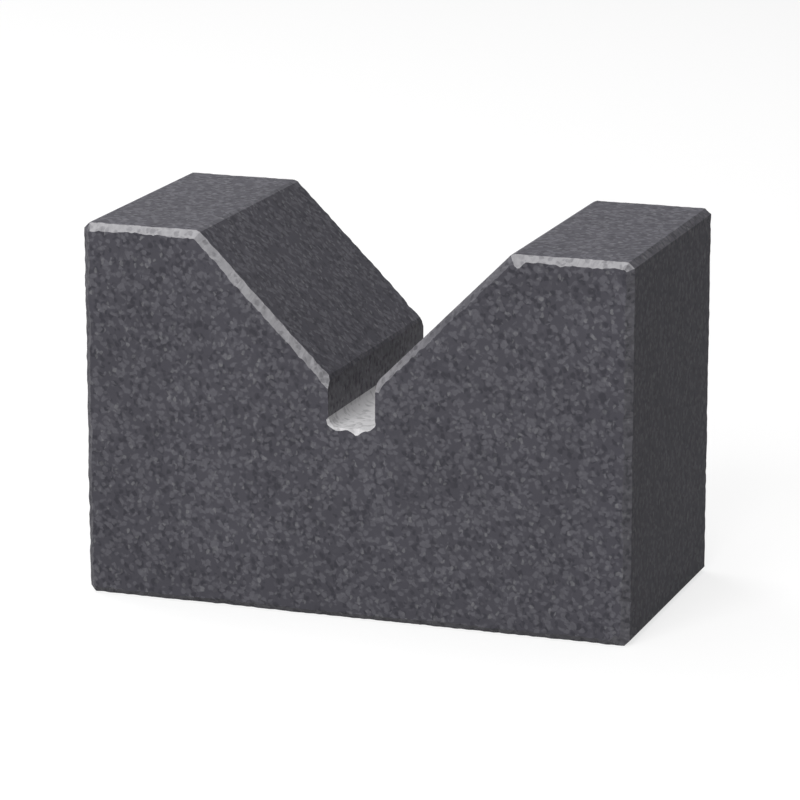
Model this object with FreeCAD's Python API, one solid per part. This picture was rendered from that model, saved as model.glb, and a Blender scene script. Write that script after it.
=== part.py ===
import FreeCAD, Part
import math
import os

# A granite V block: one piece of stone that cradles a round bar between two flanks.
# Millimetres and degrees. The origin is the centre of the base, +Z points up and
# the groove runs along Y. The block is the same left and right, front and back.

# Driving dimensions
WIDTH = 100.0               # across the groove
LENGTH = 50.0               # along the groove
HEIGHT = 67.0               # base to top lands
GROOVE_OPENING = 57.0       # between the top lands
GROOVE_ANGLE = 90.0         # between the two flanks
SLOT_WIDTH = 8.6            # saw cut at the root of the groove
SLOT_FLOOR = 34.2           # height of the cut's floor above the base
SLOT_CORNER_RADIUS = 1.8    # left in the floor's corners by the worn rim of the saw
END_CHAMFER = 1.2           # ground round both end faces, length of each leg
SIDE_CHAMFER = 1.0          # ground along the four long outer edges, length of each leg
FLANK_EDGE_BREAK = 0.4      # stoned along the mouth and foot of each flank, length of each leg

# Worked out from them
HALF_WIDTH = WIDTH / 2
HALF_OPENING = GROOVE_OPENING / 2
HALF_SLOT = SLOT_WIDTH / 2
FLANK_RISE = (HALF_OPENING - HALF_SLOT) / math.tan(math.radians(GROOVE_ANGLE / 2))
FLANK_FOOT = HEIGHT - FLANK_RISE
TOUCHING = 1e-4             # two lengths closer than this are taken as equal


def on_front(x, z):
    """A point of the cross-section, placed on the front end of the block."""
    return FreeCAD.Vector(x, -LENGTH / 2, z)


def slot_corner(side):
    """The round between a slot wall and the slot floor; side is -1 for left, 1 for right."""
    centre_x = side * (HALF_SLOT - SLOT_CORNER_RADIUS)
    centre_z = SLOT_FLOOR + SLOT_CORNER_RADIUS
    diagonal = SLOT_CORNER_RADIUS * math.sqrt(0.5)
    wall_end = on_front(side * HALF_SLOT, centre_z)
    middle = on_front(centre_x + side * diagonal, centre_z - diagonal)
    floor_end = on_front(centre_x, SLOT_FLOOR)
    return Part.Arc(wall_end, middle, floor_end).toShape()


def straight_run(points):
    """The straight edges that join the points in order."""
    return [Part.makeLine(start, end) for start, end in zip(points, points[1:])]


def cross_section():
    """The closed outline of the block across the groove."""
    wall_foot = SLOT_FLOOR + SLOT_CORNER_RADIUS
    floor_end = HALF_SLOT - SLOT_CORNER_RADIUS
    edges = straight_run([
        on_front(-HALF_SLOT, wall_foot),
        on_front(-HALF_SLOT, FLANK_FOOT),
        on_front(-HALF_OPENING, HEIGHT),
        on_front(-HALF_WIDTH, HEIGHT),
        on_front(-HALF_WIDTH, 0),
        on_front(HALF_WIDTH, 0),
        on_front(HALF_WIDTH, HEIGHT),
        on_front(HALF_OPENING, HEIGHT),
        on_front(HALF_SLOT, FLANK_FOOT),
        on_front(HALF_SLOT, wall_foot),
    ])
    edges.append(slot_corner(1))
    edges += straight_run([on_front(floor_end, SLOT_FLOOR), on_front(-floor_end, SLOT_FLOOR)])
    edges.append(slot_corner(-1))
    return Part.Wire(edges)


def sawn_blank():
    """The cross-section carried along the groove, with every edge still sharp."""
    return Part.Face(cross_section()).extrude(FreeCAD.Vector(0, LENGTH, 0))


def same(first, second):
    return abs(first - second) < TOUCHING


def runs_along(edge, x, z):
    """True for an edge along the groove at this height and this far from the middle."""
    box = edge.BoundBox
    is_straight_back = same(box.XLength, 0) and same(box.ZLength, 0)
    return is_straight_back and same(abs(box.Center.x), x) and same(box.Center.z, z)


def is_outer_edge(edge):
    """The four long edges where the sides meet the base and the lands."""
    return runs_along(edge, HALF_WIDTH, 0) or runs_along(edge, HALF_WIDTH, HEIGHT)


def is_flank_mouth(edge):
    return runs_along(edge, HALF_OPENING, HEIGHT)


def is_flank_foot(edge):
    return runs_along(edge, HALF_SLOT, FLANK_FOOT)


def is_end_edge(edge):
    """The outline of an end face, apart from the saw cut, which keeps its sharp edges."""
    box = edge.BoundBox
    on_end_face = same(box.YLength, 0) and same(abs(box.Center.y), LENGTH / 2)
    within_slot = max(abs(box.XMin), abs(box.XMax)) < HALF_SLOT + TOUCHING
    return on_end_face and not within_slot


def chamfered(shape, leg, belongs):
    """The shape with a chamfer on each edge that belongs."""
    return shape.makeChamfer(leg, [edge for edge in shape.Edges if belongs(edge)])


def v_block():
    """The finished block: long edges first, then both ends, then the foot of each flank."""
    block = chamfered(sawn_blank(), SIDE_CHAMFER, is_outer_edge)
    block = chamfered(block, FLANK_EDGE_BREAK, is_flank_mouth)
    block = chamfered(block, END_CHAMFER, is_end_edge)
    block = chamfered(block, FLANK_EDGE_BREAK, is_flank_foot)
    return block.Solids[0]


os.makedirs("parts", exist_ok=True)
v_block().exportStep("parts/v_block.step")
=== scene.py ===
import math

import bmesh
import bpy
from bpy.props import FloatProperty, FloatVectorProperty, PointerProperty
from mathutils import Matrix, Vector, noise


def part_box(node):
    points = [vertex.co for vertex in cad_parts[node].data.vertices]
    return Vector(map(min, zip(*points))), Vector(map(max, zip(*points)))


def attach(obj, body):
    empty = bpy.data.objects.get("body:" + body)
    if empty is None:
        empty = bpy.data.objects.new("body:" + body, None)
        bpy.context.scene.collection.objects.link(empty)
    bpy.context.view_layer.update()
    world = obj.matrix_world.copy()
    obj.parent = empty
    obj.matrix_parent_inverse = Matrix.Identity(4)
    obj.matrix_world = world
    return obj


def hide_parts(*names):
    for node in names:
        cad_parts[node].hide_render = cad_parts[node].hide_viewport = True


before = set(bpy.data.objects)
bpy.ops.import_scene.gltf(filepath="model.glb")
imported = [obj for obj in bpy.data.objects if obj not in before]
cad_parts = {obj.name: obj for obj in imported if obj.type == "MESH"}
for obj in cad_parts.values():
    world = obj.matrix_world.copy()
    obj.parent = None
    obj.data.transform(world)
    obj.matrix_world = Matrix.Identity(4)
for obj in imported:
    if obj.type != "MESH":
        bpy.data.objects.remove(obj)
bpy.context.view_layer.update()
LOW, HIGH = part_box("v_block")

bl_info = {
    "name": "Granite V Block",
    "version": (1, 0, 0),
    "blender": (4, 5, 0),
    "location": "View3D > Sidebar > V Block",
    "description": "A lapped granite V block with ground edges, on a pale stage",
    "category": "Object",
}

# Metres throughout. X runs across the groove, Y along it and Z up from the base.
MM = 0.001
WIDTH = HIGH.x - LOW.x
HEIGHT = HIGH.z - LOW.z
END = HIGH.y                # how far each end face lies from the middle
TOUCHING = 0.001 * MM       # two places closer than this are taken as one
FLOOR_GAP = 0.02 * MM       # keeps the floor and the base from lying in one plane

# How a face was cut. The number stays on the face while the edges are worked.
LAPPED = 0
END_GROUND = 1              # the chamfer ground round each end
LONG_GROUND = 2             # a chamfer or an edge break along the block
SAW_FLOOR = 3               # the floor of the relief slot, with its round corners
SAW_EXIT = 4                # the edge that broke where the saw left the slot's floor

SLOT_CORNER_FACETS = 8
SAW_EXIT_UNEVENNESS = 4     # the sawn edge strays this many times as far as a ground one

# How a ground edge strays along its length: the size of each kind of unevenness.
WAVE_LENGTH = 7 * MM
GRIT_LENGTH = 1.1 * MM
LOST_CRYSTAL_LENGTH = 1.7 * MM
LOST_CRYSTAL_FROM = 0.4     # noise above this takes a crystal out
KNOCK_REACH = 1.5 * MM      # how far round a struck place the edge is lost

# How much pale powder a face shows, from none at 0 to all of it at 1. On the chamfers round the ends
# that face up, part of it is painted light from above.
SAWN_FLOOR_PALE = 1.0
SLOT_WALL_PALE = 0.16
# pale powder plus painted light from above, on the end chamfers that face up
LAND_CHAMFER_PALE_WITH_PAINTED_LIGHT = 0.85
LEFT_FLANK_CHAMFER_PALE = 0.65
RIGHT_FLANK_FOOT_PALE = 0.5
RIGHT_FLANK_FADE = 0.9      # lost from foot to mouth
RIGHT_FLANK_LEAST_PALE = 0.12
UPRIGHT_CHAMFER_PALE = 0.13
BASE_CHAMFER_PALE = 0.2
LONG_EDGE_PALE = 0.08

# Which way a chamfer round an end faces, by the upward part of its normal.
FACES_UP = 0.6              # on a land
FACES_PARTLY_UP = 0.3       # on a flank
FACES_DOWN = -0.3           # below this it is on the base

# Where the lamps stand, seen from the block, and how big they are.
LAMP_DISTANCE = 1.0
KEY_AZIMUTH = math.radians(-5)
KEY_ELEVATION = math.radians(30)
BACK_AZIMUTH = math.radians(-120)
BACK_ELEVATION = math.radians(40)
FRONT_AND_BACK_LAMP_SIZE = 0.6
TOP_LAMP_SIZE = 0.8
FLOOR_RADIUS = 6
FLOOR_GREY = (0.3, 0.3, 0.3, 1)
BLACK = (0, 0, 0, 1)
WHITE = (1, 1, 1, 1)


class BlockSizes(bpy.types.PropertyGroup):
    """The sizes of the block that its outer box doesn't give."""

    groove_opening: FloatProperty(
        name="Groove opening", description="Between the two top lands",
        default=57 * MM, unit="LENGTH")
    groove_angle: FloatProperty(
        name="Groove angle", description="Between the two flanks",
        default=math.radians(90), unit="ROTATION")
    slot_width: FloatProperty(
        name="Slot width", description="Saw cut at the root of the groove",
        default=8.6 * MM, unit="LENGTH")
    slot_floor: FloatProperty(
        name="Slot floor", description="Height of the saw cut's floor above the base",
        default=34.2 * MM, unit="LENGTH")
    slot_corner: FloatProperty(
        name="Slot corner", description="Radius in the corners of the slot's floor",
        default=1.8 * MM, unit="LENGTH")
    end_chamfer: FloatProperty(
        name="End chamfer", description="Leg of the chamfer ground round both ends",
        default=1.2 * MM, unit="LENGTH")
    side_chamfer: FloatProperty(
        name="Side chamfer", description="Leg of the chamfer along the outer edges",
        default=1.0 * MM, unit="LENGTH")
    flank_break: FloatProperty(
        name="Flank edge break", description="Leg of the stoned edges of each flank",
        default=0.4 * MM, unit="LENGTH")
    saw_break: FloatProperty(
        name="Saw exit", description="Leg of the broken edge at both ends of the slot's floor",
        default=0.3 * MM, unit="LENGTH")
    edge_step: FloatProperty(
        name="Edge step", description="Distance between the points of a ground edge",
        default=0.45 * MM, unit="LENGTH")
    edge_wander: FloatProperty(
        name="Edge wander",
        description="How far a ground edge strays, as a share of its chamfer's width",
        default=0.18, subtype="FACTOR")
    chip_reach: FloatProperty(
        name="Chip reach",
        description="How far a lost crystal reaches, as a share of its chamfer's width",
        default=0.6, subtype="FACTOR")


class StoneFinish(bpy.types.PropertyGroup):
    """The colours and the grain of the stone."""

    dark_crystal: FloatVectorProperty(
        name="Dark crystal", description="The darkest grains of the lapped stone",
        default=(0.046, 0.045, 0.054), subtype="COLOR")
    grey_crystal: FloatVectorProperty(
        name="Grey crystal", description="The ground mass of the lapped stone",
        default=(0.074, 0.072, 0.085), subtype="COLOR")
    pale_crystal: FloatVectorProperty(
        name="Pale crystal", description="The pale needles of the lapped stone",
        default=(0.145, 0.142, 0.160), subtype="COLOR")
    bright_crystal: FloatVectorProperty(
        name="Bright crystal", description="The few flecks that stand out",
        default=(0.21, 0.21, 0.22), subtype="COLOR")
    ground_stone: FloatVectorProperty(
        name="Ground stone", description="Stone left rough by the grinding wheel or the saw",
        default=(0.40, 0.395, 0.410), subtype="COLOR")
    sawn_stone: FloatVectorProperty(
        name="Sawn stone", description="Stone left white with powder by the saw",
        default=(0.60, 0.595, 0.605), subtype="COLOR")
    grain: FloatProperty(
        name="Grain", description="Size of the crystals",
        default=0.8 * MM, unit="LENGTH")
    lapped_roughness: FloatProperty(
        name="Lapped roughness", description="Roughness of the lapped faces",
        default=0.55, min=0, max=1, subtype="FACTOR")
    ground_roughness: FloatProperty(
        name="Ground roughness", description="Roughness of the ground and sawn faces",
        default=0.85, min=0, max=1, subtype="FACTOR")
    sheen_level: FloatProperty(
        name="Sheen level", description="Strength of the reflection on every face",
        default=0.045, min=0, max=1, subtype="FACTOR")


class StageSettings(bpy.types.PropertyGroup):
    """The camera and the light."""

    azimuth: FloatProperty(
        name="Azimuth", description="Camera direction, from the front towards the right side",
        default=math.radians(19.5), unit="ROTATION")
    elevation: FloatProperty(
        name="Elevation", description="Camera direction above the horizon",
        default=math.radians(14.2), unit="ROTATION")
    distance: FloatProperty(
        name="Distance", description="From the camera to the middle of the block",
        default=0.75, unit="LENGTH")
    lens: FloatProperty(
        name="Lens", description="Focal length in millimetres",
        default=190)
    ambient: FloatProperty(
        name="Ambient", description="Light that reaches the block from all round",
        default=0.08, min=0)
    key_level: FloatProperty(
        name="Key level", description="Share of plain light that the front softbox gives",
        default=0.91, min=0)
    top_level: FloatProperty(
        name="Top level", description="Share of plain light that the overhead softbox gives",
        default=0.42, min=0)
    back_level: FloatProperty(
        name="Back level", description="Share of plain light that the softbox behind gives",
        default=0.40, min=0)
    floor_lift: FloatProperty(
        name="Floor lift", description="White added to the floor, so that only its shadow shows",
        default=0.75, min=0)


# ---------------------------------------------------------------- the block's mesh

def section(sizes):
    """The corners of the block across the groove, from the slot's floor round to it again."""
    half_slot = sizes.slot_width / 2
    right = [
        (half_slot, sizes.slot_floor),
        (half_slot, flank_foot(sizes)),
        (sizes.groove_opening / 2, HEIGHT),
        (WIDTH / 2, HEIGHT),
        (WIDTH / 2, 0),
    ]
    left = [(-x, z) for x, z in reversed(right)]
    return right + left


def flank_foot(sizes):
    """The height at which the flanks end on the slot's walls."""
    run = (sizes.groove_opening - sizes.slot_width) / 2
    return HEIGHT - run / math.tan(sizes.groove_angle / 2)


def sawn_blank(block, sizes):
    """The section carried along the groove, every edge still sharp."""
    corners = [block.verts.new((x, -END, z)) for x, z in section(sizes)]
    front = block.faces.new(corners)
    grown = bmesh.ops.extrude_face_region(block, geom=[front])
    back = [part for part in grown["geom"] if isinstance(part, bmesh.types.BMVert)]
    bmesh.ops.translate(block, verts=back, vec=(0, 2 * END, 0))
    bmesh.ops.recalc_face_normals(block, faces=block.faces)


def same(first, second):
    return abs(first - second) < TOUCHING


def middle(edge):
    return (edge.verts[0].co + edge.verts[1].co) / 2


def long_edges(block, x, z):
    """The edges along the groove at this height and this far from the middle."""
    return [edge for edge in block.edges if is_along(edge)
            and same(abs(middle(edge).x), x) and same(middle(edge).z, z)]


def end_edges(block):
    """The edges round both end faces."""
    return [edge for edge in block.edges
            if is_level_with_end(edge) and same(abs(middle(edge).y), END)]


def cut(block, edges, leg, kind, segments=1):
    """Bevels the edges and notes on the new faces how they were cut."""
    made = bmesh.ops.bevel(
        block, geom=edges, offset=leg, offset_type="OFFSET", segments=segments,
        profile=0.5, affect="EDGES", material=-1, clamp_overlap=False)
    how = block.faces.layers.int["how"]
    for face in made["faces"]:
        face[how] = kind


def cut_slot_corners(block, sizes):
    """Rounds the corners of the slot's floor, as the worn rim of the saw does."""
    how = block.faces.layers.int["how"]
    cut(block, long_edges(block, sizes.slot_width / 2, sizes.slot_floor),
        sizes.slot_corner, SAW_FLOOR, segments=SLOT_CORNER_FACETS)
    for face in block.faces:
        if same(face.calc_center_median().z, sizes.slot_floor):
            face[how] = SAW_FLOOR


def cut_long_edges(block, sizes):
    """The chamfers along the outer edges, and the breaks along the groove's mouth."""
    outer = long_edges(block, WIDTH / 2, 0) + long_edges(block, WIDTH / 2, HEIGHT)
    cut(block, outer, sizes.side_chamfer, LONG_GROUND)
    mouths = long_edges(block, sizes.groove_opening / 2, HEIGHT)
    cut(block, mouths, sizes.flank_break, LONG_GROUND)


def cut_ends(block, sizes):
    """The chamfer round each end, which stops at the slot, and the break on the slot's floor."""
    corner_top = sizes.slot_floor + sizes.slot_corner
    in_slot = [edge for edge in end_edges(block)
               if abs(middle(edge).x) < sizes.slot_width / 2 + TOUCHING
               and middle(edge).z > sizes.slot_floor - TOUCHING]
    outline = [edge for edge in end_edges(block) if edge not in in_slot]
    floor_ends = [edge for edge in in_slot if middle(edge).z < corner_top]
    cut(block, outline, sizes.end_chamfer, END_GROUND)
    cut(block, floor_ends, sizes.saw_break, SAW_EXIT)


def is_along(edge):
    """True for an edge that runs along the groove."""
    first, second = edge.verts
    return same(first.co.x, second.co.x) and same(first.co.z, second.co.z)


def is_level_with_end(edge):
    """True for an edge that keeps its distance from the end faces."""
    return same(edge.verts[0].co.y, edge.verts[1].co.y)


def divide_strips(block, kinds, is_side, step):
    """Divides the chamfers of these kinds along their length, so that they can wander."""
    how = block.faces.layers.int["how"]
    strips = [face for face in block.faces if face[how] in kinds and len(face.verts) == 4]
    for face in strips:
        sides = [edge for edge in face.edges if is_side(edge)]
        pieces = round(max(edge.calc_length() for edge in sides) / step)
        if pieces > 1:
            bmesh.ops.subdivide_edges(block, edges=sides, cuts=pieces - 1, use_grid_fill=True)


def rungs(block, kind):
    """The edges across the chamfers of one kind, each between two faces of that kind."""
    how = block.faces.layers.int["how"]
    return [edge for edge in block.edges
            if len(edge.link_faces) == 2 and all(face[how] == kind for face in edge.link_faces)]


def struck_places(sizes):
    """Where the front lost stone: at the right land, the base's corner and the slot's floor."""
    across = sizes.end_chamfer
    return (Vector((sizes.groove_opening / 2 + across, -END, HEIGHT - across)),
            Vector((WIDTH / 2 - 1.5 * across, -END, across)),
            Vector((0.1 * sizes.slot_width, -END, sizes.slot_floor)))


def stray(place, sizes):
    """How far a ground edge lies outside its line, as a share of its chamfer's width."""
    wave = noise.noise(place / WAVE_LENGTH)
    grit = noise.noise(place / GRIT_LENGTH)
    crystal = max(0, noise.noise(place / LOST_CRYSTAL_LENGTH) - LOST_CRYSTAL_FROM)
    nearest = min((place - struck).length for struck in struck_places(sizes))
    knock = max(0, 1 - nearest / KNOCK_REACH)
    return sizes.edge_wander * (0.8 * wave + grit) + sizes.chip_reach * (crystal + knock)


def loosen_end_edges(block, sizes, kind, unevenness):
    """Lets both sides of the chamfers round the ends stray.

    The outer side stays in the end face and the inner side keeps its place across the block.
    """
    for rung in rungs(block, kind):
        outer, inner = sorted(rung.verts, key=lambda vert: -abs(vert.co.y))
        across = inner.co - outer.co
        width = across.length * unevenness
        within_end = Vector((across.x, 0, across.z)).normalized()
        outer.co -= within_end * width * stray(outer.co, sizes)
        inner.co.y += math.copysign(width, across.y) * stray(inner.co, sizes)


def loosen_long_edges(block, sizes):
    """Lets both sides of the long chamfers stray, each within the flat face beside it."""
    how = block.faces.layers.int["how"]
    moves = []
    for rung in rungs(block, LONG_GROUND):
        for vert in rung.verts:
            across = rung.other_vert(vert).co - vert.co
            flat = [face for face in vert.link_faces if face[how] == LAPPED][0]
            within = across - across.dot(flat.normal) * flat.normal
            moves.append((vert, -within.normalized() * across.length * stray(vert.co, sizes)))
    for vert, move in moves:
        vert.co += move


def end_chamfer_paleness(normal, height, foot):
    """The paleness of a chamfer round an end, by the way it faces and how high it lies. Facing up, it is
    paler with painted light from above as well as with pale powder.
    """
    if normal.z > FACES_UP:
        # painted light: a chamfer facing up is made much paler than an upright one, for the light it
        # catches from above as well as for its powder
        return LAND_CHAMFER_PALE_WITH_PAINTED_LIGHT
    if normal.z > FACES_PARTLY_UP and normal.x > 0:
        return LEFT_FLANK_CHAMFER_PALE
    if normal.z > FACES_PARTLY_UP:
        risen = (height - foot) / (HEIGHT - foot)
        return max(RIGHT_FLANK_LEAST_PALE, RIGHT_FLANK_FOOT_PALE - RIGHT_FLANK_FADE * risen)
    if normal.z > FACES_DOWN:
        return UPRIGHT_CHAMFER_PALE
    return BASE_CHAMFER_PALE


def is_slot_wall(face, centre, sizes):
    """True for the two flat walls of the slot, below the flanks."""
    return (abs(face.normal.x) > 0.9
            and abs(centre.x) < sizes.slot_width / 2 + TOUCHING
            and sizes.slot_floor - 1 * MM < centre.z < flank_foot(sizes))


def note_paleness(block, sizes):
    """Writes on each face how much pale powder it shows, with painted light from above on the end
    chamfers that face up, and whether the saw left it.
    """
    how = block.faces.layers.int["how"]
    pale = block.faces.layers.float.new("pale")
    sawn = block.faces.layers.float.new("sawn")
    block.normal_update()
    for face in block.faces:
        centre = face.calc_center_median()
        if face[how] in (SAW_FLOOR, SAW_EXIT):
            face[pale] = SAWN_FLOOR_PALE
            face[sawn] = 1
        elif face[how] == END_GROUND:
            face[pale] = end_chamfer_paleness(face.normal, centre.z, flank_foot(sizes))
        elif face[how] == LONG_GROUND:
            face[pale] = LONG_EDGE_PALE
        elif is_slot_wall(face, centre, sizes):
            face[pale] = SLOT_WALL_PALE
            face[sawn] = 1


def build_block(sizes):
    """Cuts the block's mesh from a blank, in the order of the real work."""
    mesh = bpy.data.meshes.new("v_block_stone")
    block = bmesh.new()
    block.faces.layers.int.new("how")
    sawn_blank(block, sizes)
    cut_slot_corners(block, sizes)
    cut_long_edges(block, sizes)
    cut_ends(block, sizes)
    divide_strips(block, (END_GROUND, SAW_EXIT), is_level_with_end, sizes.edge_step)
    feet = long_edges(block, sizes.slot_width / 2, flank_foot(sizes))
    cut(block, feet, sizes.flank_break, LONG_GROUND)
    divide_strips(block, (LONG_GROUND,), is_along, sizes.edge_step)
    note_paleness(block, sizes)
    loosen_end_edges(block, sizes, END_GROUND, 1)
    loosen_end_edges(block, sizes, SAW_EXIT, SAW_EXIT_UNEVENNESS)
    loosen_long_edges(block, sizes)
    block.to_mesh(mesh)
    block.free()
    return mesh


# ---------------------------------------------------------------- the stone

class Value:
    """A node's output that takes part in arithmetic. Each operation adds a Math node."""

    def __init__(self, graph, socket):
        self.graph = graph
        self.socket = socket

    def __add__(self, other):
        return self.graph.math("ADD", self, other)

    def __mul__(self, other):
        return self.graph.math("MULTIPLY", self, other)

    def __rsub__(self, other):
        return self.graph.math("SUBTRACT", other, self)

    def __sub__(self, other):
        return self.graph.math("SUBTRACT", self, other)

    __radd__ = __add__
    __rmul__ = __mul__


class Graph:
    """The nodes of one material or world."""

    def __init__(self, owner):
        owner.use_nodes = True
        self.tree = owner.node_tree
        self.tree.nodes.clear()

    def node(self, kind, settings=None, sockets=None):
        """Adds a node: its settings first, then a value or a link for each named socket."""
        made = self.tree.nodes.new(kind)
        for name, value in (settings or {}).items():
            setattr(made, name, value)
        for name, value in (sockets or {}).items():
            if isinstance(value, Value):
                self.tree.links.new(value.socket, made.inputs[name])
            else:
                made.inputs[name].default_value = value
        return made

    def get(self, kind, output=0, settings=None, sockets=None):
        """Adds a node and returns one of its outputs."""
        return Value(self, self.node(kind, settings, sockets).outputs[output])

    def math(self, operation, first, second):
        return self.get("ShaderNodeMath", 0, {"operation": operation}, {0: first, 1: second})

    def clamped(self, value):
        return self.get("ShaderNodeClamp", 0, None, {"Value": value})

    def blend(self, factor, first, second):
        """The first colour where the factor is 0 and the second where it is 1."""
        return self.get("ShaderNodeMix", 2, {"data_type": "RGBA"}, {0: factor, 6: first, 7: second})


def rgba(colour):
    return (*colour, 1)


def needles(graph, place, turn, length, width, share):
    """Crystals that are long one way: 1 on the chosen share of them and 0 between."""
    turned = graph.get("ShaderNodeMapping", 0, {"vector_type": "TEXTURE"}, {
        "Vector": place, "Rotation": turn, "Scale": (length, width, width)})
    cells = graph.node("ShaderNodeTexVoronoi", {"feature": "F1"}, {"Vector": turned, "Scale": 1})
    pick = graph.get("ShaderNodeSeparateColor", 0, None, {"Color": Value(graph, cells.outputs["Color"])})
    chosen = graph.get("ShaderNodeMapRange", 0, {"interpolation_type": "SMOOTHSTEP"}, {
        "Value": pick, "From Min": 1 - share - 0.08, "From Max": 1 - share + 0.08})
    core = graph.get("ShaderNodeMapRange", 0, {"interpolation_type": "SMOOTHSTEP"}, {
        "Value": Value(graph, cells.outputs["Distance"]), "From Min": 0.75, "From Max": 0.35})
    return chosen * core


def granite(finish):
    """Dark lapped granite that turns pale and rough where it is ground or sawn."""
    material = bpy.data.materials.new("granite")
    graph = Graph(material)
    place = graph.get("ShaderNodeTexCoord", "Object")
    pale = graph.get("ShaderNodeAttribute", "Fac", {"attribute_name": "pale"})
    sawn = graph.get("ShaderNodeAttribute", "Fac", {"attribute_name": "sawn"})
    grain = finish.grain

    clouds = graph.get("ShaderNodeTexNoise", 0, None, {"Vector": place, "Scale": 60, "Detail": 2})
    grit = graph.get("ShaderNodeTexNoise", 0, None, {
        "Vector": place, "Scale": 1 / grain, "Detail": 3, "Roughness": 0.6})
    bend = graph.get("ShaderNodeTexNoise", 1, None, {"Vector": place, "Scale": 0.8 / grain, "Detail": 1})
    bent = graph.get("ShaderNodeVectorMath", 0, {"operation": "MULTIPLY_ADD"}, {
        0: bend, 1: (1.2 * grain, 1.2 * grain, 1.2 * grain), 2: place})
    dark_cells = needles(graph, bent, (0.4, 1.1, 0.2), 1.5 * grain, 1.1 * grain, 0.42)
    first = needles(graph, bent, (0.3, 0.5, 0.9), 2.2 * grain, 1.0 * grain, 0.28)
    second = needles(graph, bent, (1.2, 0.2, 2.3), 2.2 * grain, 1.0 * grain, 0.28)
    flecks = needles(graph, bent, (0.7, 2.0, 1.5), 1.1 * grain, 0.8 * grain, 0.07)
    pale_cells = graph.clamped(first + second)

    mass = graph.blend(dark_cells * 0.75, rgba(finish.grey_crystal), rgba(finish.dark_crystal))
    veined = graph.blend(pale_cells * (0.2 + 0.7 * grit), mass, rgba(finish.pale_crystal))
    lapped = graph.blend(flecks * grit, veined, rgba(finish.bright_crystal))
    bare = dark_cells * (0.5 - 0.2 * pale)
    # on the end chamfers that face up, part of this pale mix is painted light from above
    powder = graph.clamped(pale * (0.75 + 0.5 * grit - bare))
    powdered = graph.blend(sawn, rgba(finish.ground_stone), rgba(finish.sawn_stone))
    colour = graph.blend(powder, lapped, powdered)
    shade = graph.get("ShaderNodeMapRange", 0, None, {
        "Value": clouds, "From Min": 0.3, "From Max": 0.7, "To Min": 0.93, "To Max": 1.05})
    tinted = graph.get("ShaderNodeVectorMath", 0, {"operation": "SCALE"}, {0: colour, "Scale": shade})

    roughness = graph.clamped(
        finish.lapped_roughness + 0.08 * grit
        + pale * (finish.ground_roughness - finish.lapped_roughness))
    marks = graph.get("ShaderNodeTexNoise", 0, None, {
        "Vector": graph.get("ShaderNodeMapping", 0, None, {"Vector": place, "Scale": (1, 0.06, 1)}),
        "Scale": 2500, "Detail": 1})
    relief = grit * (0.15 + 0.85 * pale) + sawn * marks
    bump = graph.get("ShaderNodeBump", 0, None, {
        "Height": relief, "Strength": 0.25, "Distance": 0.1 * MM})
    shader = graph.get("ShaderNodeBsdfPrincipled", 0, None, {
        "Base Color": tinted, "Roughness": roughness, "Normal": bump,
        "Specular IOR Level": finish.sheen_level})
    graph.node("ShaderNodeOutputMaterial", None, {"Surface": shader})
    return material


class OBJECT_OT_granite_v_block(bpy.types.Operator):
    """Build the block over its CAD node"""

    bl_idname = "object.granite_v_block"
    bl_label = "Granite V Block"

    def execute(self, context):
        scene = context.scene
        mesh = build_block(scene.block_sizes)
        mesh.materials.append(granite(scene.stone_finish))
        stone = bpy.data.objects.new("v_block_stone", mesh)
        scene.collection.objects.link(stone)
        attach(stone, "root")
        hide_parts("v_block")
        return {"FINISHED"}


# ---------------------------------------------------------------- the stage

def seen_directly(graph):
    """1 for rays that show the background: from the camera, off gloss or through glass."""
    path = graph.node("ShaderNodeLightPath")
    rays = [Value(graph, path.outputs[name])
            for name in ("Is Camera Ray", "Is Glossy Ray", "Is Transmission Ray")]
    return graph.clamped(rays[0] + rays[1] + rays[2])


def white_world(scene, stage):
    """White behind the block, and the even light of a pale room on it."""
    world = bpy.data.worlds.new("pale_room")
    graph = Graph(world)
    seen = seen_directly(graph)
    strength = stage.ambient + seen * (1 - stage.ambient)
    room = graph.get("ShaderNodeBackground", 0, None, {"Color": WHITE, "Strength": strength})
    graph.node("ShaderNodeOutputWorld", None, {"Surface": room})
    scene.world = world


def pale_floor(scene, stage):
    """A wide disc under the block, white to the camera but for the block's shadow."""
    mesh = bpy.data.meshes.new("floor")
    disc = bmesh.new()
    bmesh.ops.create_circle(disc, cap_ends=True, segments=64, radius=FLOOR_RADIUS)
    bmesh.ops.translate(disc, verts=disc.verts, vec=(0, 0, -FLOOR_GAP))
    disc.to_mesh(mesh)
    disc.free()
    material = bpy.data.materials.new("pale_floor")
    graph = Graph(material)
    seen = seen_directly(graph)
    shader = graph.get("ShaderNodeBsdfPrincipled", 0, None, {
        "Base Color": FLOOR_GREY, "Roughness": 0.9, "Specular IOR Level": 0,
        "Emission Color": graph.blend(seen, BLACK, WHITE),
        "Emission Strength": stage.floor_lift})
    graph.node("ShaderNodeOutputMaterial", None, {"Surface": shader})
    mesh.materials.append(material)
    floor = bpy.data.objects.new("floor", mesh)
    scene.collection.objects.link(floor)


def aim(thing, place, target):
    thing.location = place
    thing.rotation_euler = (target - place).to_track_quat("-Z", "Y").to_euler()


def softbox(scene, name, place, target, size, level):
    """A square lamp that gives this share of plain light at its target."""
    lamp = bpy.data.lights.new(name, "AREA")
    lamp.size = size
    lamp.energy = level * math.pi ** 2 * (place - target).length_squared
    box = bpy.data.objects.new(name, lamp)
    scene.collection.objects.link(box)
    aim(box, place, target)


def direction(azimuth, elevation):
    """From the block towards a camera or lamp at these angles."""
    level = math.cos(elevation)
    return Vector((math.sin(azimuth) * level, -math.cos(azimuth) * level, math.sin(elevation)))


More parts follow.
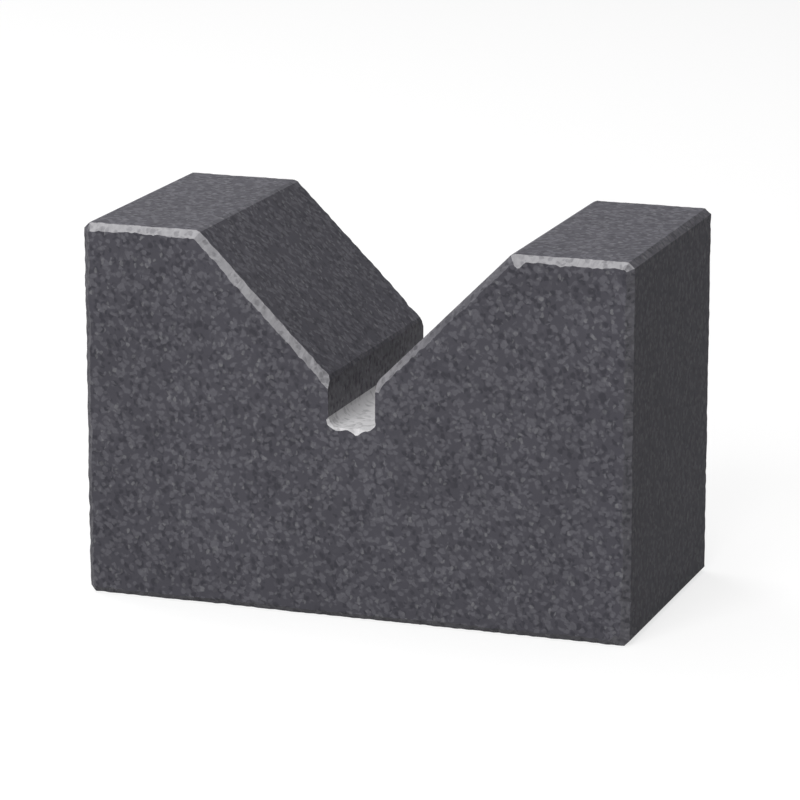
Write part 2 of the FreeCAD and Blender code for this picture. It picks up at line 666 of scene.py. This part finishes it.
def set_camera(scene, stage, target):
    """Looks at the middle of the block from the front, a little to the right and above."""
    lens = bpy.data.cameras.new("camera")
    lens.lens = stage.lens
    camera = bpy.data.objects.new("camera", lens)
    scene.collection.objects.link(camera)
    aim(camera, target + stage.distance * direction(stage.azimuth, stage.elevation), target)
    scene.camera = camera


class SCENE_OT_pale_stage(bpy.types.Operator):
    """Set the floor, the light and the camera"""

    bl_idname = "scene.pale_stage"
    bl_label = "Pale Stage"

    def execute(self, context):
        scene = context.scene
        stage = scene.stage_settings
        target = (LOW + HIGH) / 2
        white_world(scene, stage)
        pale_floor(scene, stage)
        key = LAMP_DISTANCE * direction(KEY_AZIMUTH, KEY_ELEVATION)
        top = LAMP_DISTANCE * Vector((0, 0, 1))
        back = LAMP_DISTANCE * direction(BACK_AZIMUTH, BACK_ELEVATION)
        side = FRONT_AND_BACK_LAMP_SIZE
        softbox(scene, "key_softbox", target + key, target, side, stage.key_level)
        softbox(scene, "top_softbox", target + top, target, TOP_LAMP_SIZE, stage.top_level)
        softbox(scene, "back_softbox", target + back, target, side, stage.back_level)
        set_camera(scene, stage, target)
        scene.view_settings.view_transform = "Standard"
        return {"FINISHED"}


class VIEW3D_PT_v_block(bpy.types.Panel):
    """The block's sizes, stone and stage"""

    bl_label = "V Block"
    bl_space_type = "VIEW_3D"
    bl_region_type = "UI"
    bl_category = "V Block"

    def draw(self, context):
        scene = context.scene
        for settings in (scene.block_sizes, scene.stone_finish, scene.stage_settings):
            box = self.layout.box()
            for name in settings.__annotations__:
                box.prop(settings, name)
        self.layout.operator("object.granite_v_block")
        self.layout.operator("scene.pale_stage")


CLASSES = (
    BlockSizes,
    StoneFinish,
    StageSettings,
    OBJECT_OT_granite_v_block,
    SCENE_OT_pale_stage,
    VIEW3D_PT_v_block,
)


def register():
    for cls in CLASSES:
        bpy.utils.register_class(cls)
    bpy.types.Scene.block_sizes = PointerProperty(type=BlockSizes)
    bpy.types.Scene.stone_finish = PointerProperty(type=StoneFinish)
    bpy.types.Scene.stage_settings = PointerProperty(type=StageSettings)


def unregister():
    del bpy.types.Scene.stage_settings
    del bpy.types.Scene.stone_finish
    del bpy.types.Scene.block_sizes
    for cls in reversed(CLASSES):
        bpy.utils.unregister_class(cls)


def main():
    register()
    bpy.ops.object.granite_v_block()
    bpy.ops.scene.pale_stage()


if __name__ == "__main__":
    main()
